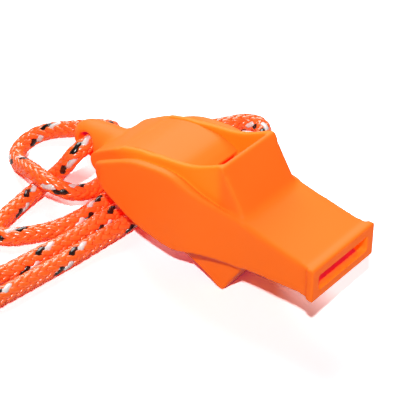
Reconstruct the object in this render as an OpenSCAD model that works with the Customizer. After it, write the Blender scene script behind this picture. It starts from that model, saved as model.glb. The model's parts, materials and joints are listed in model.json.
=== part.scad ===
// Pealess survival whistle with two sound windows, leaf shaped side plates and a braided neck lanyard.
// Millimetres, +Z up. X runs from the lanyard eye to the lip, Y runs across the whistle,
// and the lower ridge stands on Z = 0.

/* [Lengths along the whistle] */
// Lip to the foot of the wedge
mouth_len = 14; // [11:0.5:20]
// Foot of the wedge to its ridge, measured flat
wedge_run = 4.5; // [3.5:0.1:7]
// Ridge to the labium edge, across the sound window
window_len = 6.5; // [5.6:0.1:8]
// Labium edge to the seam at the back of the chamber cover
cover_len = 14.5; // [12.5:0.5:20]
// Seam to the end of the inner walls
tail_len = 7.5; // [6.5:0.5:12]
// End of the inner walls to the end of the lanyard eye
tab_len = 9; // [8:0.5:14]
// How far the leaf plates stop short of the inner walls
plate_setback = 2; // [1:0.1:3]

/* [Heights] */
// Ridge to ridge
height = 24; // [22:0.5:32]
// Mouthpiece just behind the lip
mouth_h = 5.4; // [5:0.1:7]
// How far the mouthpiece is hollowed between its lip and the foot of the wedge
mouth_hollow = 0.1; // [0:0.1:0.5]
// Mouthpiece at the foot of the wedge
root_h = 9.4; // [8.6:0.1:12]
// Leaf plates at their highest
plate_h = 14.6; // [13:0.2:17]
// Inner walls at the seam of the chamber covers
wall_tail_h = 11; // [9.5:0.1:13]
// Inner walls over the middle of the chamber covers
wall_mid_h = 15.2; // [14.8:0.1:17]
// Inner walls beside the labium edge
wall_window_h = 18.4; // [17.4:0.1:21]
// Across the two chamber covers
barrel_h = 14.5; // [13.4:0.1:14.7]
// Across the two labium edges
labium_h = 11.9; // [10:0.1:12.4]
// Round lanyard tab at the eye
tab_h = 6.5; // [6.2:0.1:8]

/* [Widths] */
// Mouthpiece behind the lip
mouth_w = 14.4; // [13:0.2:16]
// Inner walls and wedges
core_w = 12.6; // [11.4:0.2:12.8]
// Across the two leaf plates
plate_w = 17; // [15.4:0.2:20]

/* [Details] */
// Thickness of the inner walls and of the mouthpiece roof
wall = 1.2; // [0.9:0.1:1.5]
// Width of the ledge that carries a chamber cover
ledge = 0.8; // [0.5:0.1:1.2]
// Thickness of a chamber cover
cover_t = 1.4; // [1:0.1:2]
// Thickness of a cover at its labium edge
labium_t = 0.4; // [0.3:0.1:0.7]
// Flat land on each ridge
ridge_t = 0.8; // [0.6:0.1:1.2]
// Thickness of the web between the two chambers
web_t = 1.2; // [0.8:0.1:1.8]
// How far the web reaches into the fipple block
tongue = 2; // [1:0.1:3]
// Height of each windway where it meets its sound window
windway = 1; // [0.7:0.1:1.3]
// Width of the blowing slot
slot_w = 11.8; // [9:0.2:12]
// Height of the blowing slot
slot_h = 2.8; // [1.8:0.1:3]
// Depth of the blowing slot's mouth
slot_depth = 6; // [4:0.5:8]
// Thickness of the lip along the mouthpiece
lip_t = 1.2; // [0.8:0.1:2]
// How far the lip stands proud of the mouthpiece
lip_rise = 0.4; // [0.2:0.05:0.8]
// Width of the groove between each wall and its leaf plate
groove_w = 0.5; // [0.4:0.1:0.8]
// Depth of that groove
groove_d = 0.6; // [0.3:0.1:1]
// Diameter of the lanyard eye
eye_d = 4.2; // [3.9:0.1:4.6]
// Middle of the eye to the end of the tab
eye_margin = 4.5; // [4:0.1:6]
// How far the eye lies below the middle of the body
eye_drop = 1.4; // [0:0.1:1.6]
// Clearance of the pressed in pieces, each side
fit = 0.05; // [0.02:0.01:0.1]

/* [Lanyard] */
// Diameter of the braided cord
cord_d = 3; // [2.6:0.1:3]
// Middle diameter of the put-away coil
coil_mid_d = 33; // [31:0.5:35]
// Gap between neighbouring turns of the coil
coil_gap = 1; // [0.9:0.1:1.4]
// Length of the crimp sleeve
crimp_len = 10; // [8:0.5:14]
// Wall of the crimp sleeve
crimp_t = 0.8; // [0.5:0.1:1.2]
// Width of the tie round the coil
tie_w = 5; // [3:0.5:8]
// Thickness of the tie
tie_t = 0.8; // [0.5:0.1:1.2]
// Slack between the tie and the coil
tie_slack = 0.2; // [0.1:0.05:0.4]

/* [Hidden] */
$fn = 48;

// Places along X, from the lip back to the tail
length = mouth_len + wedge_run + window_len + cover_len + tail_len + tab_len;
lip_x = length / 2;
foot_x = lip_x - mouth_len;
ridge_x = foot_x - wedge_run;
back_x = ridge_x - ridge_t;
labium_x = ridge_x - window_len;
seam_x = labium_x - cover_len;
mid_x = (labium_x + seam_x) / 2;
wall_end_x = seam_x - tail_len;
plate_end_x = wall_end_x + plate_setback;
tail_x = wall_end_x - tab_len;
eye_x = tail_x + eye_margin;
mid_z = height / 2;
eye_z = mid_z - eye_drop;
inner_w = core_w - 2 * wall;
over = 1;

// Heights of the windway roof and floor above the middle plane
roof_foot = root_h / 2 - wall;
roof_exit = (labium_h + windway) / 2;
block_tip_h = 0.5;

// A smooth curve through the points p, with n steps from each point to the next
function spline(p, n) = concat(
    [for (i = [0 : len(p) - 2], j = [0 : n - 1])
        let (t = j / n, a = p[max(i - 1, 0)], b = p[i], c = p[i + 1], d = p[min(i + 2, len(p) - 1)])
        b + ((c - a) * t + (2 * a - 5 * b + 4 * c - d) * t ^ 2 + (3 * b - a - 3 * c + d) * t ^ 3) / 2],
    [p[len(p) - 1]]);
function reverse(p) = [for (i = [len(p) - 1 : -1 : 0]) p[i]];
function flip(p) = [for (q = p) [q[0], -q[1]]];
function lower(p, drops) = [for (i = [0 : len(p) - 1]) [p[i][0], p[i][1] - drops[i]]];
function ramp(t) = let (s = min(max(t, 0), 1)) s * s * (3 - 2 * s);
function unit(v) = v / norm(v);

// Upper outlines seen from the side, from the tail to the lip, as heights above the middle plane
tip_r = 1.4;
leaf_top = spline([
    [plate_end_x, 0],
    [plate_end_x + 0.4 * tip_r, tip_r],
    [seam_x, 0.58 * plate_h / 2],
    [(seam_x + mid_x) / 2, 0.82 * plate_h / 2],
    [mid_x, 0.94 * plate_h / 2],
    [(mid_x + 2 * labium_x) / 3, plate_h / 2],
    [(labium_x + ridge_x) / 2, 0.79 * plate_h / 2],
    [foot_x, root_h / 2],
    [foot_x + mouth_len / 2, (root_h + mouth_h) / 4 - mouth_hollow],
    [lip_x, mouth_h / 2]], 6);
wall_top = spline([
    [wall_end_x, 0],
    [wall_end_x + 0.4 * tip_r, tip_r],
    [wall_end_x + 0.45 * tail_len, 0.6 * wall_tail_h / 2],
    [seam_x, wall_tail_h / 2],
    [mid_x, wall_mid_h / 2],
    [labium_x, wall_window_h / 2],
    [back_x, height / 2]], 6);
cover_top = spline([
    [seam_x, wall_tail_h / 2],
    [(seam_x + mid_x) / 2, 0.92 * barrel_h / 2],
    [mid_x, 0.99 * barrel_h / 2],
    [(mid_x + labium_x) / 2, barrel_h / 2],
    [(mid_x + 4 * labium_x) / 5, 0.92 * barrel_h / 2],
    [labium_x, labium_h / 2]], 5);
// A cover thins towards its labium edge over its last quarter
cover_thick = [for (q = cover_top)
    labium_t + (cover_t - labium_t) * min(1, 4 * (labium_x - q[0]) / cover_len)];
cover_under = lower(cover_top, cover_thick);

// Half width of the leaf plates seen from above, from the tail to the mouthpiece
flare = (plate_w - mouth_w) / 2;
plan_edge = spline([
    [plate_end_x - over, plate_w / 2 - 2 * tip_r],
    [plate_end_x + tip_r, plate_w / 2 - 0.3 * tip_r],
    [seam_x, plate_w / 2],
    [mid_x, plate_w / 2],
    [labium_x, plate_w / 2 - 0.12 * flare],
    [ridge_x, mouth_w / 2 + 0.25 * flare],
    [foot_x, mouth_w / 2],
    [foot_x + mouth_len / 3, mouth_w / 2],
    [lip_x, mouth_w / 2]], 5);

// Extrudes an outline seen from the side to a width across the whistle
module across(w) translate([0, w / 2, mid_z]) rotate([90, 0, 0]) linear_extrude(w) children();
module mirrored_outline(p) polygon(concat(p, reverse(flip(p))));
module both_halves() { children(); translate([0, 0, height]) mirror([0, 0, 1]) children(); }
module both_sides() { children(); mirror([0, 1, 0]) children(); }

// Outer shapes of the main body
module leaf_plates() intersection() {
    across(plate_w) mirrored_outline(leaf_top);
    linear_extrude(height) mirrored_outline(plan_edge);
}
module core() across(core_w)
    mirrored_outline(concat(wall_top, [[ridge_x, height / 2], [foot_x, root_h / 2]]));
module lip() across(mouth_w + 2 * lip_rise)
    translate([lip_x - lip_t, -mouth_h / 2 - lip_rise]) square([lip_t, mouth_h + 2 * lip_rise]);
tab_r = tab_h / 2;
module tab() translate([0, 0, eye_z]) rotate([0, 90, 0]) rotate_extrude() polygon(concat(
    spline([
        [0, tail_x],
        [0.36 * tab_r, tail_x + 0.05 * eye_margin],
        [0.6 * tab_r, tail_x + 0.2 * eye_margin],
        [0.84 * tab_r, tail_x + 0.5 * eye_margin],
        [tab_r, eye_x],
        [1.15 * tab_r, wall_end_x],
        [1.25 * tab_r, seam_x]], 4),
    [[0, seam_x]]));

// Cuts in the main body
module groove() both_halves() both_sides() translate([0, core_w / 2 + groove_w / 2, 0]) across(groove_w)
    polygon(concat(
        [for (q = leaf_top) if (q[0] < foot_x)
            [q[0], max(0, q[1] - groove_d * ramp((foot_x - q[0]) / wedge_run))]],
        [[foot_x, height], [plate_end_x - over, height], [plate_end_x - over, 0]]));
module cover_pocket() both_halves() across(inner_w)
    polygon(concat([[seam_x - fit, cover_under[0][1]]], cover_under,
                   [[labium_x, height], [seam_x - fit, height]]));
module chamber() both_halves() {
    across(inner_w - 2 * ledge) translate([seam_x + ledge, web_t / 2])
        square([labium_x - seam_x - ledge, height]);
    across(inner_w) translate([labium_x, web_t / 2]) square([back_x - labium_x, height]);
}
module windways() difference() {
    union() {
        across(inner_w) mirrored_outline([[back_x, roof_exit], [foot_x, roof_foot],
                                          [lip_x, slot_h / 2], [lip_x + over, slot_h / 2]]);
        across(slot_w) translate([lip_x - slot_depth, -slot_h / 2]) square([slot_depth + over, slot_h]);
    }
    across(core_w) translate([back_x, -web_t / 2]) square([tongue, web_t]);
}
module eye() translate([eye_x, 0, eye_z]) rotate([90, 0, 0])
    cylinder(d = eye_d, h = tab_h + 2 * over, center = true);

module main_body() color("darkorange") difference() {
    union() {
        difference() { leaf_plates(); groove(); }
        core();
        lip();
        tab();
    }
    cover_pocket();
    chamber();
    windways();
    eye();
}

module fipple_block() color("orange") across(inner_w - 2 * fit) difference() {
    mirrored_outline([[back_x + fit, roof_exit - windway], [foot_x, roof_foot - windway],
                      [lip_x - slot_depth, block_tip_h / 2]]);
    translate([back_x - over, -web_t / 2 - fit]) square([tongue + fit + over, web_t + 2 * fit]);
}

module chamber_cover() across(inner_w - 2 * fit) polygon(concat(cover_top, reverse(cover_under)));
module upper_chamber_cover() color("darkorange") chamber_cover();
module lower_chamber_cover() color("darkorange") translate([0, 0, height]) mirror([0, 0, 1]) chamber_cover();

// The cord is a tube swept along a route. Each ring stands square to the route.
function heading(p, i) = unit(p[min(i + 1, len(p) - 1)] - p[max(i - 1, 0)]);
function ring(p, i, sides) = let (t = heading(p, i), s = unit(cross(t, [0, 0, 1])), u = cross(s, t))
    [for (k = [0 : sides - 1]) p[i] + cord_d / 2 * (cos(360 * k / sides) * s + sin(360 * k / sides) * u)];
module tube(p, sides) {
    last = (len(p) - 1) * sides;
    polyhedron(
        [for (i = [0 : len(p) - 1]) each ring(p, i, sides)],
        concat(
            [for (i = [0 : len(p) - 2], k = [0 : sides - 1], half = [0, 1])
                let (a = i * sides + k, b = i * sides + (k + 1) % sides)
                half == 0 ? [a, a + sides, b + sides] : [a, b + sides, b]],
            [for (k = [1 : sides - 2]) [0, k, k + 1]],
            [for (k = [1 : sides - 2]) [last, last + k + 1, last + k]]));
}
run_sides = 8;
coil_sides = 6;
rest_z = cord_d / 2;

// From the eye round behind the tab, over the near run and under the tail to a fold behind the whistle,
// back under the whistle and off to the crimp
far_route = [
    [eye_x, 0, eye_z], [eye_x - 0.3, tab_r, eye_z - 0.4], [-24.8, 4.9, 9.2], [-27, 5.2, 8.3],
    [-29.8, 4.3, 7.5],
    [-33, 3, 6.4], [-36.6, 1.8, 5], [-39.4, 0.2, 3.4], [-40.6, -1.8, 2], [-39.8, -4, 1.6], [-37.4, -5.8, 2.1],
    [-33.8, -7.4, 3.8], [-29.8, -8.8, 5.2], [-25.8, -9.2, 5.2], [-23, -7.6, 4], [-22.2, -4.2, 2.4],
    [-22.8, 0.6, rest_z], [-24.2, 6, rest_z], [-24.6, 12, rest_z], [-22.8, 18.6, rest_z], [-19.4, 24, rest_z],
    [-17.3, 27.4, rest_z], [-15.6, 29.8, rest_z], [-13.2, 30.6, rest_z], [-11.1, 29.2, rest_z],
    [-10.2, 26, rest_z], [-10.4, 17, rest_z], [-11.3, 7, rest_z], [-12, -3, rest_z], [-12.3, -8, rest_z],
    [-12.7, -13, rest_z], [-13.1, -18, rest_z], [-13.7, -23, rest_z], [-14.3, -28, rest_z],
    [-15, -33, rest_z], [-15.6, -38, 1.6], [-15.9, -44, 1.9]];
// From the eye down past the tab and under the far run to a fold in front, under the whistle
// to a second fold, and back past the first one to the coil
near_route = [
    [eye_x, 0, eye_z], [eye_x - 0.2, -tab_r, eye_z - 0.3], [-24.1, -5, 9.5], [-25.2, -5.6, 7.6],
    [-26.8, -5.8, 5.4], [-28.6, -6.3, 3.2], [-29.7, -7.9, 1.8], [-29.7, -10.6, rest_z], [-29.2, -14, rest_z],
    [-28.7, -17, rest_z], [-27.9, -19.7, rest_z], [-26.2, -21.1, rest_z], [-24.4, -20.4, rest_z],
    [-23, -18.8, rest_z], [-21.7, -17, rest_z], [-20.4, -14.9, rest_z], [-19.5, -12.4, rest_z],
    [-19, -9.4, rest_z], [-18.9, -6, rest_z], [-19, -2, rest_z], [-19.6, 4, rest_z], [-20.3, 9, rest_z],
    [-20.3, 12.6, rest_z], [-19.4, 15, rest_z], [-17.6, 16, rest_z], [-15.8, 15.2, rest_z],
    [-14.9, 12.8, rest_z], [-14.9, 9, rest_z], [-15.4, 2, rest_z], [-15.6, -4, rest_z], [-15.7, -9, 1.7],
    [-16.2, -14, rest_z], [-16.9, -19, rest_z], [-17.6, -23.6, rest_z], [-18.4, -27.6, rest_z],
    [-19.8, -31, 1.8]];

// The put-away coil: it winds inwards on the lower layer, climbs half a turn and winds outwards on top.
// It starts heading for -Y, and goes round clockwise seen from above.
coil_start = [-21.4, -40];
coil_end = 12;
coil_turns = 5 - coil_end / 360;
coil_turns_each_way = (coil_turns - 0.5) / 2;
rings_per_turn = 24;
coil_step = cord_d + coil_gap;
coil_low_z = tie_t + tie_slack + cord_d / 2;
coil_outer_r = coil_mid_d / 2 + coil_step * coil_turns_each_way / 2;
coil_centre = coil_start - [coil_outer_r, 0];
function coil_point(turn) = let (
    inwards = min(turn, coil_turns_each_way),
    outwards = max(turn - coil_turns_each_way - 0.5, 0),
    climb = ramp((turn - coil_turns_each_way) / 0.5),
    r = coil_outer_r - coil_step * (inwards - outwards),
    a = -360 * turn)
    [coil_centre[0] + r * cos(a), coil_centre[1] + r * sin(a), coil_low_z + coil_step * climb];
coil_rings = round(coil_turns * rings_per_turn);
coil_loops = [for (i = [0 : coil_rings]) coil_point(coil_turns * i / coil_rings)];
lead_in = coil_loops[0] + [0, cord_d, 0];

// The coil's tail leaves on the tangent and comes down beside the coil.
// The crimp holds both ends of the cord side by side.
crimp_bore = cord_d + 2 * fit;
crimp_h = crimp_bore + 2 * crimp_t;
tail_dir = [sin(coil_end), -cos(coil_end), 0];
tail_side = [cos(coil_end), sin(coil_end), 0];
tail_run = 18;
tail_from = coil_point(coil_turns);
tail_floor = [tail_from[0], tail_from[1], crimp_h / 2];
tail_drop = tail_from[2] - crimp_h / 2;
function tail_point(share, raised) = tail_floor + share * tail_run * tail_dir + [0, 0, raised * tail_drop];
tail_end = tail_floor + (tail_run + crimp_len) * tail_dir;
far_end = tail_end + crimp_bore * tail_side;
coil_path = concat([lead_in], coil_loops, [
    tail_point(0.33, 0.98), tail_point(0.54, 0.8), tail_point(0.76, 0.28), tail_point(1, 0), tail_end]);
far_path = concat(far_route, [
    far_end - (crimp_len + cord_d) * tail_dir, far_end - crimp_len * tail_dir, far_end]);
near_path = concat(near_route, [lead_in + [0, cord_d, 0], lead_in]);

// Least distance between parts of the coil that are more than three quarters of a turn apart
apart = round(0.75 * rings_per_turn);
coil_clear = min([for (i = [0 : len(coil_path) - 1 - apart], j = [i + apart : len(coil_path) - 1])
    norm(coil_path[i] - coil_path[j])]) - cord_d;
function run_length(p) = len(p) < 2 ? 0 : [for (s = 0, i = 0; i < len(p); s = s + (i + 1 < len(p) ?
    norm(p[i + 1] - p[i]) : 0), i = i + 1) s][len(p) - 1];
echo(coil_least_gap = coil_clear);
echo(lanyard_length = run_length(far_path) + run_length(near_path) + run_length(coil_path));

module lanyard_far_run() color("orangered") tube(far_path, run_sides);
module lanyard_near_run() color("orangered") tube(near_path, run_sides);
module lanyard_coil() color("orangered") tube(coil_path, coil_sides);

// Two round bores that run into each other, in a sleeve of even thickness
module side_by_side(d) {
    square([crimp_bore, d], center = true);
    for (x = [-1, 1]) translate([x * crimp_bore / 2, 0]) circle(d = d);
}
module lanyard_crimp() color("silver") translate((tail_end + far_end) / 2) rotate([90, 0, coil_end])
    translate([0, 0, -crimp_len]) linear_extrude(crimp_len) difference() {
        side_by_side(crimp_h);
        side_by_side(crimp_bore);
    }

// The tie is a flat band that goes round the coil's bundle of turns
tie_angle = 200;
bundle_mid = coil_mid_d / 2;
bundle_w = coil_step * coil_turns_each_way + cord_d + 2 * tie_slack;
bundle_h = coil_step + cord_d + 2 * tie_slack;
module soft_box(w, h, r) {
    square([w - 2 * r, h], center = true);
    square([w, h - 2 * r], center = true);
    for (x = [-1, 1], y = [-1, 1]) translate([x * (w / 2 - r), y * (h / 2 - r)]) circle(r);
}
module coil_tie() color("black")
    translate([coil_centre[0], coil_centre[1], tie_t + bundle_h / 2]) rotate([0, 0, tie_angle])
    translate([bundle_mid, 0, 0]) rotate([90, 0, 0]) linear_extrude(tie_w, center = true) difference() {
        soft_box(bundle_w + 2 * tie_t, bundle_h + 2 * tie_t, cord_d / 2 + tie_t);
        soft_box(bundle_w, bundle_h, cord_d / 2);
    }

main_body();
fipple_block();
upper_chamber_cover();
lower_chamber_cover();
lanyard_far_run();
lanyard_near_run();
lanyard_coil();
lanyard_crimp();
coil_tie();
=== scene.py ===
# %% [markdown]
# # Survival whistle with a braided lanyard
#
# The real object is a flat whistle moulded in fluorescent orange plastic, with a braided cord through the eye
# in its tail. Its construction comes from the packed CAD part, which is loaded here. This script adds the
# looks: rounded edges, plastic with a painted red glow, a cord of woven yarns, and a plain white table under
# two lamps.
# Lengths are written in millimetres and turned into metres by `MM`, apart from those of the lamps, which
# are in metres.

# %% Load the CAD part
import json
import math

import bmesh
import bpy
import numpy as np
from mathutils import Matrix, Vector
from mathutils.bvhtree import BVHTree

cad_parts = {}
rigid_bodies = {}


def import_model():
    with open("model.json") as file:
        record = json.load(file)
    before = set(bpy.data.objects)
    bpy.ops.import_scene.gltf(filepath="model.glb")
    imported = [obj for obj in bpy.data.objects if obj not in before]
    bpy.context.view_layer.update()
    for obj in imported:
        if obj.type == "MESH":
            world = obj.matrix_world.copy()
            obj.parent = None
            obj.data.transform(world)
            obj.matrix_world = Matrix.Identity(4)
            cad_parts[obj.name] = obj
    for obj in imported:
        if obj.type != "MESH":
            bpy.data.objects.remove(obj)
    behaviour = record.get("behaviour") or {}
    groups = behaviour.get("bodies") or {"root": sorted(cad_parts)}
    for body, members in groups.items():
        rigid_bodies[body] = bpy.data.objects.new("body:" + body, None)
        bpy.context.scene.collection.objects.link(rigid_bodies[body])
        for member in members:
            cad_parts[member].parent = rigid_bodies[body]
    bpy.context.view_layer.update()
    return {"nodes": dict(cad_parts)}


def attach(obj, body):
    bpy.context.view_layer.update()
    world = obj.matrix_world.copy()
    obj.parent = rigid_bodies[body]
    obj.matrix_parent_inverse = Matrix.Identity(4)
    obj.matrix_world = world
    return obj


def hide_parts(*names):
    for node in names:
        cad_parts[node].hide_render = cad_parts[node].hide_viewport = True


MM = 0.001
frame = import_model()
nodes = frame["nodes"]
scene = bpy.context.scene
print("CAD nodes:", sorted(nodes))

# %% [markdown]
# ## Camera
#
# The picture is taken from in front of the mouthpiece, to one side and well above it. The lens is long,
# because the far end of the whistle hardly looks smaller than the near end. A Track To constraint could aim
# the camera, but it leaves no room for a roll. So the camera's turn is put together from three angles.

# %% Place the camera
CAMERA_AT = Vector((124.3, -140.7, 158.9)) * MM
AZIMUTH, ELEVATION, ROLL = math.radians(41.58), math.radians(38.51), math.radians(-0.61)
FOCAL_LENGTH, SENSOR_WIDTH = 134.9, 36
NEAREST, FARTHEST = 10 * MM, 10000 * MM

look = Vector((-math.sin(AZIMUTH) * math.cos(ELEVATION),
               math.cos(AZIMUTH) * math.cos(ELEVATION),
               -math.sin(ELEVATION)))
lens = bpy.data.cameras.new("camera")
lens.lens = FOCAL_LENGTH
lens.sensor_width = SENSOR_WIDTH
lens.clip_start = NEAREST
lens.clip_end = FARTHEST
camera = bpy.data.objects.new("camera", lens)
scene.collection.objects.link(camera)
turn = look.to_track_quat("-Z", "Y").to_matrix() @ Matrix.Rotation(ROLL, 3, "Z")
camera.matrix_world = Matrix.Translation(CAMERA_AT) @ turn.to_4x4()
scene.camera = camera
scene.view_settings.view_transform = "Standard"
print("camera looks along", [round(x, 3) for x in look])

# %% [markdown]
# ## The two runs of the cord
#
# The lanyard is one limp cord, passed through the tail eye. One side, the far run, loops round behind the
# tail, passes under it to a fold behind the whistle, and comes back under the whistle to the crimp. The other
# side, the near run, folds once in front of the whistle and once under it, and goes off to a tidy coil.
# A simulation could drop the cord, but it would hardly fall into these folds. So the points of each run are
# listed, and they are those of the CAD part.

# %% Points of the two runs
CORD_D = 3.0
REST = CORD_D / 2
EYE = (-23.5, 0, 10.6)
FAR_ROUTE = [
    EYE, (-23.8, 3.25, 10.2), (-24.8, 4.9, 9.2), (-27, 5.2, 8.3), (-29.8, 4.3, 7.5),
    (-33, 3, 6.4), (-36.6, 1.8, 5), (-39.4, 0.2, 3.4), (-40.6, -1.8, 2), (-39.8, -4, 1.6), (-37.4, -5.8, 2.1),
    (-33.8, -7.4, 3.8), (-29.8, -8.8, 5.2), (-25.8, -9.2, 5.2), (-23, -7.6, 4), (-22.2, -4.2, 2.4),
    (-22.8, 0.6, REST), (-24.2, 6, REST), (-24.6, 12, REST), (-22.8, 18.6, REST), (-19.4, 24, REST),
    (-17.3, 27.4, REST), (-15.6, 29.8, REST), (-13.2, 30.6, REST), (-11.1, 29.2, REST),
    (-10.2, 26, REST), (-10.4, 17, REST), (-11.3, 7, REST), (-12, -3, REST), (-12.3, -8, REST),
    (-12.7, -13, REST), (-13.1, -18, REST), (-13.7, -23, REST), (-14.3, -28, REST),
    (-15, -33, REST), (-15.6, -38, 1.6), (-15.9, -44, 1.9)]
NEAR_ROUTE = [
    EYE, (-23.7, -3.25, 10.3), (-24.1, -5, 9.5), (-25.2, -5.6, 7.6),
    (-26.8, -5.8, 5.4), (-28.6, -6.3, 3.2), (-29.7, -7.9, 1.8), (-29.7, -10.6, REST), (-29.2, -14, REST),
    (-28.7, -17, REST), (-27.9, -19.7, REST), (-26.2, -21.1, REST), (-24.4, -20.4, REST),
    (-23, -18.8, REST), (-21.7, -17, REST), (-20.4, -14.9, REST), (-19.5, -12.4, REST),
    (-19, -9.4, REST), (-18.9, -6, REST), (-19, -2, REST), (-19.6, 4, REST), (-20.3, 9, REST),
    (-20.3, 12.6, REST), (-19.4, 15, REST), (-17.6, 16, REST), (-15.8, 15.2, REST),
    (-14.9, 12.8, REST), (-14.9, 9, REST), (-15.4, 2, REST), (-15.6, -4, REST), (-15.7, -9, 1.7),
    (-16.2, -14, REST), (-16.9, -19, REST), (-17.6, -23.6, REST), (-18.4, -27.6, REST), (-19.8, -31, 1.8)]
print("points by hand:", len(FAR_ROUTE), "on the far run and", len(NEAR_ROUTE), "on the near run")

# %% [markdown]
# ## The coil
#
# The rest of the long cord is wound up in a coil of two layers and tied. Its points could be set by hand
# too, but turns have to be even, so a formula gives them: the coil winds inwards on the lower layer, climbs,
# and winds outwards on top. Its tail comes down to the table and ends in the crimp, beside the end of the
# far run.

# %% Wind the coil
WHOLE_TURNS = 5
SHORT_BY = 12  # degrees that the last turn lacks
CLIMB = 0.5  # turns from the lower layer to the upper one
COIL_TURNS = WHOLE_TURNS - SHORT_BY / 360
TURNS_EACH_WAY = (COIL_TURNS - CLIMB) / 2
COIL_STEP = CORD_D + 1
COIL_LOW = 2.5
COIL_MEAN_R = 16.5
COIL_OUTER_R = COIL_MEAN_R + COIL_STEP * TURNS_EACH_WAY / 2
COIL_SIDE_X, COIL_Y = -21.4, -40
COIL_X = COIL_SIDE_X - COIL_OUTER_R
COIL_POINTS = 120
CRIMP_BORE, CRIMP_H, CRIMP_LEN = 3.1, 4.7, 10
TAIL_RUN = 18
TAIL_FALL = ((0.33, 0.98), (0.54, 0.8), (0.76, 0.28), (1, 0))  # share of the tail's run, share of its height


def ease(t):
    """Rises smoothly from 0 to 1 as t does, and stays there."""
    t = np.clip(t, 0, 1)
    return t * t * (3 - 2 * t)


def coil_points(count):
    """Points from the coil's first turn on the lower layer to its last one on top."""
    turn = np.linspace(0, COIL_TURNS, count)
    inwards = np.minimum(turn, TURNS_EACH_WAY)
    outwards = np.maximum(turn - TURNS_EACH_WAY - CLIMB, 0)
    r = COIL_OUTER_R - COIL_STEP * (inwards - outwards)
    a = -2 * np.pi * turn
    z = COIL_LOW + COIL_STEP * ease((turn - TURNS_EACH_WAY) / CLIMB)
    return np.stack([COIL_X + r * np.cos(a), COIL_Y + r * np.sin(a), z], 1)


coil = coil_points(COIL_POINTS)
lead_in = coil[0] + [0, CORD_D, 0]
tail_turn = math.radians(SHORT_BY)
tail_dir = np.array([math.sin(tail_turn), -math.cos(tail_turn), 0])
tail_side = np.array([math.cos(tail_turn), math.sin(tail_turn), 0])
tail_drop = coil[-1][2] - CRIMP_H / 2
tail_floor = coil[-1] - [0, 0, tail_drop]
tail_end = tail_floor + (TAIL_RUN + CRIMP_LEN) * tail_dir
far_end = tail_end + CRIMP_BORE * tail_side
coil_tail = [tail_floor + share * TAIL_RUN * tail_dir + [0, 0, raised * tail_drop]
             for share, raised in TAIL_FALL]
print("coil:", round(COIL_TURNS, 2), "turns, outer radius", round(COIL_OUTER_R, 1), "mm")

# %% [markdown]
# ## Walking along the cord
#
# A braid has an even pattern, so it has to be laid along the cord in even steps. Blender's curve objects step
# evenly between their control points, and these lie unevenly. So the curve is worked out here: its slope at
# each point allows for the spacing, and it is then walked in equal steps. The coil lies out of the picture
# and takes longer ones.

# %% Walk the cord
FINE_STEP = 0.05
BRAID_STEP, COIL_BRAID_STEP = 0.38, 1.0


def distances(walk):
    """How far along the walk each of its points lies."""
    return np.concatenate([[0], np.cumsum(np.linalg.norm(np.diff(walk, axis=0), axis=1))])


def smooth_walk(points, step):
    """Even steps along a smooth curve through the points."""
    p = np.array(points, float)
    knot = distances(p)
    gap = np.linalg.norm(np.diff(p, axis=0), axis=1)
    slope = np.diff(p, axis=0) / gap[:, None]
    before, after = gap[:-1, None], gap[1:, None]
    bend = (after * slope[:-1] + before * slope[1:]) / (before + after)
    tangent = np.vstack([slope[:1], bend, slope[-1:]])
    s = np.linspace(0, knot[-1], int(knot[-1] / FINE_STEP))
    i = np.clip(np.searchsorted(knot, s) - 1, 0, len(gap) - 1)
    h = gap[i][:, None]
    t = ((s - knot[i]) / gap[i])[:, None]
    curve = ((2 * t**3 - 3 * t**2 + 1) * p[i] + (t**3 - 2 * t**2 + t) * h * tangent[i]
             + (3 * t**2 - 2 * t**3) * p[i + 1] + (t**3 - t**2) * h * tangent[i + 1])
    run = distances(curve)
    even = np.linspace(0, run[-1], int(round(run[-1] / step)) + 1)
    return np.stack([np.interp(even, run, curve[:, k]) for k in range(3)], 1)


def walk_length(walk):
    return float(np.linalg.norm(np.diff(walk, axis=0), axis=1).sum())


into_crimp = [far_end - (CRIMP_LEN + CORD_D) * tail_dir, far_end - CRIMP_LEN * tail_dir, far_end]
far_walk = smooth_walk(FAR_ROUTE + into_crimp, BRAID_STEP)
to_coil = smooth_walk(NEAR_ROUTE + [lead_in + [0, CORD_D, 0], lead_in], BRAID_STEP)
coil_walk = smooth_walk([lead_in, *coil, *coil_tail, tail_end], COIL_BRAID_STEP)
near_walk = np.vstack([to_coil, coil_walk[1:]])
print("far run", round(walk_length(far_walk)), "mm")
print("near run with its coil", round(walk_length(near_walk)), "mm")

# %% [markdown]
# ## The braid
#
# Sixteen flat yarns make the real cord, eight winding each way. A yarn passes over two others and under two,
# and its neighbour does the same two crossings later, which gives rows of arrow shapes. One yarn is black,
# the next one white, and the rest are orange. A bump map would look flat where the light grazes the cord,
# so every yarn is a tube of its own with an oval section, round a plain core. Its number in the `yarn`
# attribute tells the material its colour.

# %% Braid the yarns
YARNS = 8  # each way
LAY = 15
YARN_W, YARN_T = 1.08, 0.58
YARN_MID_R = 1.07
YARN_WAVE = 0.15
YARN_DIVE = 2.5  # how sharply a yarn goes from over to under
CORE_R = YARN_MID_R - 0.1
SECTION = 6
ORANGE, BLACK, WHITE = 0.0, 1.0, 2.0
ODD_YARNS = {(1, 0): BLACK, (1, 1): WHITE}


def normalised(v):
    return v / np.linalg.norm(v, axis=1, keepdims=True)


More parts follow.
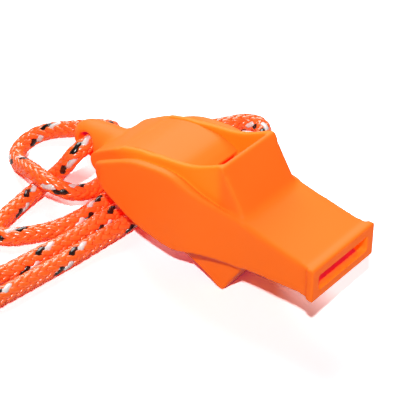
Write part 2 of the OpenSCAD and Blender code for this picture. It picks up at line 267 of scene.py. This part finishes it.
def braid(name, walk):
    """A piece with all the yarns along the walk, in metres, and a round core under them."""
    along = distances(walk)
    forward = normalised(np.gradient(walk, axis=0))
    side = normalised(np.cross(forward, [0, 0, 1.0]))
    up = np.cross(side, forward)
    crossing = along / (LAY / (2 * YARNS))
    verts, faces, kind = [], [], []

    def add_tube(rings, colour):
        start = sum(len(v) for v in verts)
        count, sides = rings.shape[:2]
        verts.append(rings.reshape(-1, 3))
        k = np.arange(sides)
        a = start + np.arange(count - 1)[:, None] * sides + k
        b = start + np.arange(count - 1)[:, None] * sides + (k + 1) % sides
        faces.extend(np.stack([a, b, b + sides, a + sides], 2).reshape(-1, 4).tolist())
        faces.append(list(range(start + sides - 1, start - 1, -1)))
        faces.append(list(range(start + (count - 1) * sides, start + count * sides)))
        kind.append(np.full(count * sides, colour))

    beta = 2 * np.pi * np.arange(SECTION) / SECTION
    across, outwards = np.cos(beta)[None, :, None], np.sin(beta)[None, :, None]
    for way in (1, -1):
        for k in range(YARNS):
            angle = 2 * np.pi * (k / YARNS + way * along / LAY)
            phase = crossing + 2 * k if way == 1 else 2 - crossing + 2 * k
            lift = np.tanh(YARN_DIVE * np.cos(np.pi / 2 * (phase - 0.5)))
            radius = YARN_MID_R + YARN_WAVE * lift
            out = np.cos(angle)[:, None] * side + np.sin(angle)[:, None] * up
            mid = walk + radius[:, None] * out
            wide = normalised(np.cross(normalised(np.gradient(mid, axis=0)), out))
            rings = (mid[:, None] + YARN_W / 2 * across * wide[:, None]
                     + YARN_T / 2 * outwards * out[:, None])
            add_tube(rings, ODD_YARNS.get((way, k), ORANGE))
    add_tube(walk[:, None] + CORE_R * (across * side[:, None] + outwards * up[:, None]), ORANGE)

    mesh = bpy.data.meshes.new(name)
    mesh.from_pydata((np.vstack(verts) * MM).tolist(), [], faces)
    mesh.attributes.new("yarn", "FLOAT", "POINT").data.foreach_set("value", np.concatenate(kind))
    mesh.shade_smooth()
    piece = bpy.data.objects.new(name, mesh)
    scene.collection.objects.link(piece)
    return piece


far_cord = braid("lanyard_far", far_walk)
near_cord = braid("lanyard_near", near_walk)
print("braid faces:", len(far_cord.data.polygons), len(near_cord.data.polygons))

# %% [markdown]
# ## How soft each edge is
#
# A moulding has no sharp edges, and the CAD body has many. A Bevel modifier is the usual cure, but it needs
# clean edges, and here curved faces meet at every angle. So the body is remeshed into small even squares,
# whose points are then drawn towards their neighbours. More rounds of that round an edge more: the foot of
# the wedge, the tail and the long edges of the mouthpiece are the softest, and the ridges and the lip's face
# keep most of their shape.

# %% Rounds of smoothing in each zone
HEIGHT = 24
PLAIN_ROUNDS = 10
ANY = (-np.inf, np.inf)


def above(low):
    return (low, np.inf)


def below(high):
    return (-np.inf, high)


# rounds, then x along the whistle, y off its middle plane and z off its middle height; a later zone wins
ZONES = {
    "leaf plates": (20, below(14), above(6.7), ANY),
    "long edges of the mouthpiece": (40, above(14), above(5.5), ANY),
    "tail": (50, below(-13), below(5), ANY),
    "rim of a cover's pocket": (2, (-12.6, -3), below(5.9), above(4.5)),
    "wedge": (30, (9.2, 17.5), below(6.7), (3.9, 11)),
    "foot of the wedge": (80, (11, 17.5), below(5.8), (3.9, 9)),
    "ridges": (6, ANY, ANY, above(11)),
    "back of the lip": (13, above(25.5), ANY, ANY),
    "face of the lip": (9, above(27.4), ANY, ANY),
    "slot": (4, above(20), below(6), below(2)),
}


def rounds_of_smoothing(p):
    """How often each point of the body is drawn towards its neighbours."""
    place = p[:, 0], np.abs(p[:, 1]), np.abs(p[:, 2] - HEIGHT / 2)
    rounds = np.full(len(p), PLAIN_ROUNDS)
    for zone_rounds, *limits in ZONES.values():
        inside = [(low < at) & (at < high) for at, (low, high) in zip(place, limits)]
        rounds[np.all(inside, axis=0)] = zone_rounds
    return rounds


print("softest zone:", max(ZONES, key=lambda zone: ZONES[zone][0]))

# %% [markdown]
# ## The moulded body
#
# Now the body is made from a copy of its CAD node, so that the node itself stays whole. Its loose triangles
# are joined first, because the Remesh modifier needs a closed skin. Smoothing shrinks a shape a little, so
# the body is stretched back to its height, and the rims of the inner walls are raised to close up with the
# covers between them. At the end a Decimate modifier leaves out the faces that flat places don't need.

# %% Mould the body
VOXEL = 0.2
FACE_LIMIT = 170000
JOIN = 0.001
HALF_WAY = 0.5
RIM_LIFT = 0.2
RIM_BACK, RIM_RISE = -12.6, 1.2
RIM_FRONT, RIM_FALL = -5.5, 2.5
RIM_IN, RIM_OUT, RIM_SLOPE = 5, 6.4, 0.6
RIM_UP = 4.5


def joined_copy(node, name):
    """A new piece from the node's mesh, with its loose triangles joined."""
    mesh = node.data.copy()
    work = bmesh.new()
    work.from_mesh(mesh)
    bmesh.ops.remove_doubles(work, verts=work.verts, dist=JOIN * MM)
    work.to_mesh(mesh)
    work.free()
    piece = bpy.data.objects.new(name, mesh)
    scene.collection.objects.link(piece)
    return piece


def apply_modifiers(piece):
    """Makes what the modifiers show the piece's own mesh."""
    depsgraph = bpy.context.evaluated_depsgraph_get()
    done = bpy.data.meshes.new_from_object(piece.evaluated_get(depsgraph))
    piece.modifiers.clear()
    piece.data = done
    return done


def edges_of(mesh):
    edges = np.empty(len(mesh.edges) * 2, int)
    mesh.edges.foreach_get("vertices", edges)
    return edges.reshape(-1, 2)


def neighbours_mean(edges, values):
    """The mean of the values at each point's neighbours."""
    a = np.concatenate([edges[:, 0], edges[:, 1]])
    b = np.concatenate([edges[:, 1], edges[:, 0]])
    count = np.bincount(a, minlength=len(values))[:, None]
    total = [np.bincount(a, column[b], len(values)) for column in values.T]
    return np.stack(total, 1) / np.maximum(count, 1)


def rim_lift(p):
    """How far the rims of the inner walls rise towards the chamber covers, which stand a little higher."""
    x, y, z = p[:, 0], np.abs(p[:, 1]), p[:, 2] - HEIGHT / 2
    lift = RIM_LIFT * ease((x - RIM_BACK) / RIM_RISE) * ease((RIM_FRONT - x) / RIM_FALL)
    lift *= ease((RIM_OUT - y) / RIM_SLOPE)
    return np.where((y > RIM_IN) & (np.abs(z) > RIM_UP), lift * np.sign(z), 0)


def moulded(node, name):
    """A copy of the node with rounded edges, as a mould leaves them."""
    piece = joined_copy(node, name)
    remesh = piece.modifiers.new("even squares", "REMESH")
    remesh.mode = "VOXEL"
    remesh.voxel_size = VOXEL * MM
    mesh = apply_modifiers(piece)

    p = np.empty(len(mesh.vertices) * 3)
    mesh.vertices.foreach_get("co", p)
    p = p.reshape(-1, 3) / MM
    edges = edges_of(mesh)
    rounds = rounds_of_smoothing(p)
    for i in range(int(rounds.max())):
        p += HALF_WAY * (rounds > i)[:, None] * (neighbours_mean(edges, p) - p)
    p[:, 2] += rim_lift(p)
    p[:, 2] = (p[:, 2] - p[:, 2].min()) * HEIGHT / (p[:, 2].max() - p[:, 2].min())
    mesh.vertices.foreach_set("co", (p * MM).ravel())

    fewer = piece.modifiers.new("fewer faces", "DECIMATE")
    fewer.ratio = min(1.0, FACE_LIMIT / (2 * len(mesh.polygons)))
    apply_modifiers(piece).shade_smooth()
    return piece


body = moulded(nodes["main_body"], "whistle_body")
print("body faces:", len(body.data.polygons))

# %% [markdown]
# ## The chamber covers
#
# A curved cover closes each chamber, pressed in between the two inner walls. The CAD nodes have their right
# shape, so they need no copy, only modifiers: Weld joins the loose triangles, Displace swells the cover a
# little, because a press fit shows no open joint, and Bevel rounds its sharp edges.

# %% Soften the covers
COVER_SWELL, COVER_EDGE = 0.06, 0.12
EDGE_SEGMENTS = 4
SHARP_FROM = math.radians(60)


def soften(cover):
    """Makes a cover look moulded and pressed in."""
    cover.modifiers.new("closed skin", "WELD").merge_threshold = JOIN * MM
    swell = cover.modifiers.new("press fit", "DISPLACE")
    swell.mid_level = 0
    swell.strength = COVER_SWELL * MM
    soft = cover.modifiers.new("soft edges", "BEVEL")
    soft.width = COVER_EDGE * MM
    soft.segments = EDGE_SEGMENTS
    soft.limit_method = "ANGLE"
    soft.angle_limit = SHARP_FROM


for name in ("upper_chamber_cover", "lower_chamber_cover"):
    soften(nodes[name])
    print(name, [modifier.name for modifier in nodes[name].modifiers])

# %% [markdown]
# ## Where the light falls
#
# The real plastic is fluorescent: it turns part of the light that falls on it into red, and here that red is
# painted light. A material can't tell where a lamp shines, so each point of the body notes whether it sees
# the front lamp, and only those points get the full painted glow, which paints the front lamp's light and
# shadow onto the body. Some light also comes through the plastic, so the chamber and the slot get a painted
# glow from inside, and the thin upper walls get painted light that turns them yellower towards their rims.
# A little smoothing softens the border of light and shade.

# %% Note the light on the body
FRONT_LAMP = Vector((0.42, -0.58, 0.97))
SKIN = 0.2  # how far above the surface a ray starts
CHAMBER_BACK, CHAMBER_FRONT, CHAMBER_HALF_W, CHAMBER_TOP = -11, 9, 5.2, 18.5
SLOT_BACK, SLOT_HALF_W, SLOT_HALF_H = 20, 6, 1.5
SLOT_PAINTED_SEE_THROUGH = 0.6
WALL_IN, WALL_OUT = 4.9, 6.6
THIN_FROM_Z, THIN_RISE = 15, 4
THIN_TO_X, THIN_FADE = 10, 2
SOFTENING = 4


def note_light(piece):
    """Gives each point its painted light, and how much painted light comes through where the plastic is thin.
    """
    mesh = piece.data
    tree = BVHTree.FromPolygons([v.co for v in mesh.vertices], [f.vertices for f in mesh.polygons])
    to_lamp = FRONT_LAMP.normalized()
    glow = np.empty((len(mesh.vertices), 1))
    thin = np.empty(len(mesh.vertices))
    for i, v in enumerate(mesh.vertices):
        faces_lamp = v.normal.dot(to_lamp) > 0
        lit = faces_lamp and tree.ray_cast(v.co + v.normal * SKIN * MM, to_lamp)[0] is None
        x, y, z = v.co / MM
        off_middle, over_middle = abs(y), z - HEIGHT / 2
        in_chamber = (CHAMBER_BACK < x < CHAMBER_FRONT and off_middle < CHAMBER_HALF_W
                      and 0 < over_middle < CHAMBER_TOP - HEIGHT / 2)
        in_slot = x > SLOT_BACK and off_middle < SLOT_HALF_W and abs(over_middle) < SLOT_HALF_H
        in_wall = WALL_IN < off_middle < WALL_OUT
        rim = ease((z - THIN_FROM_Z) / THIN_RISE) * ease((THIN_TO_X - x) / THIN_FADE) * in_wall
        # painted see-through light: a yellower glow in the slot and along the thin rims of the inner walls
        thin[i] = SLOT_PAINTED_SEE_THROUGH if in_slot else rim
        # painted light: full where the front lamp reaches and in the chamber and slot, else only the
        # see-through part
        glow[i] = 1.0 if lit or in_chamber or in_slot else thin[i]
    edges = edges_of(mesh)
    for _ in range(SOFTENING):
        glow += HALF_WAY * (neighbours_mean(edges, glow) - glow)
    mesh.attributes.new("glow", "FLOAT", "POINT").data.foreach_set("value", glow[:, 0])
    mesh.attributes.new("thin", "FLOAT", "POINT").data.foreach_set("value", thin)
    return glow


print("mean glow of the body:", round(float(note_light(body).mean()), 2))

# %% [markdown]
# ## Writing materials as sums
#
# A material is a tree of nodes. Adding and linking each one by hand takes many lines and hides the maths,
# so a small class holds one output of a tree, and a sum or a product with it adds the Math node for that.

# %% A wire in a node tree


def fill(node, inputs):
    """Links each wire to its socket of the node, and sets each plain value on its socket."""
    for key, value in inputs.items():
        if isinstance(value, Wire):
            value.tree.links.new(value.socket, node.inputs[key])
        else:
            node.inputs[key].default_value = value


class Wire:
    """One output in a node tree."""

    def __init__(self, tree, socket=None):
        self.tree, self.socket = tree, socket

    def node(self, kind, inputs, out=0, **settings):
        """Adds a node to the tree and gives one of its outputs."""
        made = self.tree.nodes.new(kind)
        for key, value in settings.items():
            setattr(made, key, value)
        fill(made, inputs)
        return Wire(self.tree, made.outputs[out])

    def math(self, operation, other):
        return self.node("ShaderNodeMath", {0: self, 1: other}, operation=operation)

    def __add__(self, other):
        return self.math("ADD", other)

    def __mul__(self, other):
        return self.math("MULTIPLY", other)

    __radd__, __rmul__ = __add__, __mul__

    def over(self, limit):
        return self.math("GREATER_THAN", limit)

    def mix(self, low, high):
        """The colour low where this is 0, and high where it is 1."""
        return self.node("ShaderNodeMix", {0: self, 6: low, 7: high}, out=2, data_type="RGBA")

    def attribute(self, name):
        return self.node("ShaderNodeAttribute", {}, out="Fac", attribute_name=name)

    def noise(self, scale, detail=2.0):
        return self.node("ShaderNodeTexNoise", {"Vector": self, "Scale": scale, "Detail": detail})


def new_material(name):
    """A material, its Principled node, and a wire of object coordinates to start from."""
    material = bpy.data.materials.new(name)
    material.use_nodes = True
    tree = material.node_tree
    where = Wire(tree).node("ShaderNodeTexCoord", {}, out="Object")
    return material, tree.nodes["Principled BSDF"], where


print("a wire can:", [name for name in vars(Wire) if not name.startswith("_")])

# %% [markdown]
# ## Fluorescent plastic with a painted glow
#
# The moulding is a satin orange with a faint cloud in its pigment. Cycles has no fluorescence, so the red
# that the pigment gives back is painted light, added as emission. On the body it follows the light that the
# points noted: a full red glow where the front lamp reaches, a yellower one where light comes through thin
# plastic, and a weak pinkish painted glow in the shade. The small pieces are wholly in the light or wholly
# in the shade, so each of them has one painted red.

# %% Plastic
# painted light as emission: a weak pinkish glow in the shade, a full red one in the light, a yellower one
# where light comes through
SHADE_RED = (0.12, 0.0, 0.026, 1)
LIT_RED = (0.38, 0.0, 0.0, 1)
PAINTED_SEE_THROUGH_GLOW = (0.38, 0.075, 0.0, 1)
DEEP_PIGMENT, PALE_PIGMENT = (0.92, 0.24, 0.018, 1), (0.95, 0.255, 0.022, 1)
CLOUDS = 120


def plastic(name, painted_glow=None):
    """The orange plastic, with one painted glow for the piece, or else the painted glow that its points
    noted.
    """
    material, shader, where = new_material(name)
    if painted_glow is None:
        thin_red = where.attribute("thin").mix(LIT_RED, PAINTED_SEE_THROUGH_GLOW)
        painted_glow = where.attribute("glow").mix(SHADE_RED, thin_red)
    cloud = where.noise(CLOUDS)
    fill(shader, {"Base Color": cloud.mix(DEEP_PIGMENT, PALE_PIGMENT),
                  "Roughness": 0.45 + 0.06 * cloud,
                  "IOR": 1.46,
                  "Specular IOR Level": 0.11,
                  "Emission Color": painted_glow,
                  "Emission Strength": 1.0})
    return material


BODY_PLASTIC = plastic("body_plastic")
LIT_PLASTIC = plastic("lit_plastic", LIT_RED)
SHADED_PLASTIC = plastic("shaded_plastic", SHADE_RED)
print("plastics:", [m.name for m in (BODY_PLASTIC, LIT_PLASTIC, SHADED_PLASTIC)])

# %% [markdown]
# ## Shiny yarn
#
# The yarns are bundles of fine shiny fibres. Single fibres would take millions of faces, so a fine noise
# stands for them: it changes the orange a little and drives a Bump node. The number on each yarn picks its
# colour, and only orange yarn gets a painted red glow, added as emission.

# %% Yarn
PALE_YARN, DEEP_YARN = (1.0, 0.25, 0.04, 1), (0.85, 0.115, 0.014, 1)
BLACK_YARN, WHITE_YARN = (0.012, 0.008, 0.007, 1), (0.9, 0.86, 0.84, 1)
# painted glow: emission that makes the orange yarn redder in light and shade alike
PAINTED_YARN_GLOW, NO_RED = (0.25, 0.0, 0.0, 1), (0.0, 0.0, 0.0, 1)
FIBRES, FIBRE_DETAIL = 1800, 3.0
FIBRE_HEIGHT = 0.1 * MM


def braid_material():
    """Shiny yarn in the colour that its number picks."""
    material, shader, where = new_material("braided_cord")
    yarn = where.attribute("yarn")
    odd, white = yarn.over((ORANGE + BLACK) / 2), yarn.over((BLACK + WHITE) / 2)
    fibre = where.noise(FIBRES, FIBRE_DETAIL)
    bump = where.node("ShaderNodeBump", {"Height": fibre, "Strength": 0.3, "Distance": FIBRE_HEIGHT})
    fill(shader, {"Base Color": white.mix(odd.mix(fibre.mix(DEEP_YARN, PALE_YARN), BLACK_YARN), WHITE_YARN),
                  "Roughness": 0.24,
                  "Specular IOR Level": 0.8,
                  "Emission Color": odd.mix(PAINTED_YARN_GLOW, NO_RED),
                  "Emission Strength": 1.0,
                  "Normal": bump})
    return material


BRAID = braid_material()
print("yarn:", BRAID.name, "with", len(BRAID.node_tree.nodes), "nodes")

# %% [markdown]
# ## Crimp and tie
#
# The crimp is bare metal, brushed by handling, and the tie is dull black rubber. A single roughness would
# make both look like plain paint, so a noise varies it.

# %% Metal and rubber
STEEL, SOOT = (0.6, 0.6, 0.62, 1), (0.02, 0.02, 0.02, 1)
SCUFFS, RUBBER_GRAIN = 400, 600


def metal():
    material, shader, where = new_material("crimp_metal")
    fill(shader, {"Base Color": STEEL, "Metallic": 1.0, "Roughness": 0.25 + 0.15 * where.noise(SCUFFS)})
    return material


def rubber():
    material, shader, where = new_material("tie_rubber")
    fill(shader, {"Base Color": SOOT, "Roughness": 0.6 + 0.1 * where.noise(RUBBER_GRAIN)})
    return material


METAL, RUBBER = metal(), rubber()
print("fittings:", METAL.name, "and", RUBBER.name)

# %% [markdown]
# ## Dressing the pieces
#
# Every piece gets its material. The moulded body and the two braided cords take the place of CAD nodes
# and ride on the whistle's one body.

# %% Dress the pieces


def dress(piece, material):
    piece.data.materials.clear()
    piece.data.materials.append(material)


dress(body, BODY_PLASTIC)
dress(nodes["upper_chamber_cover"], LIT_PLASTIC)
for name in ("main_body", "fipple_block", "lower_chamber_cover"):
    dress(nodes[name], SHADED_PLASTIC)
dress(nodes["lanyard_crimp"], METAL)
dress(nodes["coil_tie"], RUBBER)
dress(far_cord, BRAID)
dress(near_cord, BRAID)

for piece, stands_for in ((body, ("main_body",)), (far_cord, ("lanyard_far_run",)),
                          (near_cord, ("lanyard_near_run", "lanyard_coil"))):
    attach(piece, "root")
    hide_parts(*stands_for)
    print(piece.name, "stands for", " and ".join(stands_for))

# %% [markdown]
# ## Table
#
# The whistle lies on plain white, and the picture is overexposed, so that the white has no edge. A lamp
# strong enough for that would bleach the plastic too. So the table is brighter than white to the camera
# alone, and grey to the light that bounces from it: it keeps the shadow and doesn't wash out the sides.
# Its green and blue are a little lower than its red, which paints a pink tint into the shadow.

# %% Lay the table
TABLE_HALF = 3000
# the camera's white has a little less green and blue, which paints a pink tint into the table's shadows
SEEN_WHITE_PAINTED_PINK_SHADE, BOUNCE_GREY = (1.72, 1.57, 1.6, 1), (0.58, 0.58, 0.58, 1)


def table():
    material, shader, where = new_material("white_table")
    seen = where.node("ShaderNodeLightPath", {}, out="Is Camera Ray")
    fill(shader, {"Base Color": seen.mix(BOUNCE_GREY, SEEN_WHITE_PAINTED_PINK_SHADE), "Roughness": 0.9,
                  "Specular IOR Level": 0.0})
    mesh = bpy.data.meshes.new("table")
    work = bmesh.new()
    bmesh.ops.create_grid(work, x_segments=1, y_segments=1, size=TABLE_HALF * MM)
    work.to_mesh(mesh)
    work.free()
    floor = bpy.data.objects.new("table", mesh)
    floor.data.materials.append(material)
    scene.collection.objects.link(floor)


table()
print("table:", 2 * TABLE_HALF, "mm square")

# %% [markdown]
# ## Lamps
#
# A wide lamp behind the whistle lights its upper faces, and a small one above the camera draws the shadow and
# the sparkle of the yarns. A picture of a studio as the world could do the same, but two lamps can be moved
# one by one. The world itself gives only a trace of light, so that the shade isn't black.

# %% Hang the lamps
BACK_LAMP = Vector((-0.6, 0.49, 0.63))
WORLD_LIGHT = 0.03


def lamp(name, at, size, watts):
    """A round lamp that shines at the whistle."""
    light = bpy.data.lights.new(name, "AREA")
    light.shape = "DISK"
    light.size = size
    light.energy = watts
    made = bpy.data.objects.new(name, light)
    made.location = at
    made.rotation_euler = (-at).to_track_quat("-Z", "Y").to_euler()
    scene.collection.objects.link(made)


lamp("back", BACK_LAMP, size=0.8, watts=9.5)
lamp("front", FRONT_LAMP, size=0.06, watts=9.7)
world = bpy.data.worlds.new("studio")
world.use_nodes = True
fill(world.node_tree.nodes["Background"], {"Color": (1, 1, 1, 1), "Strength": WORLD_LIGHT})
scene.world = world

# %% [markdown]
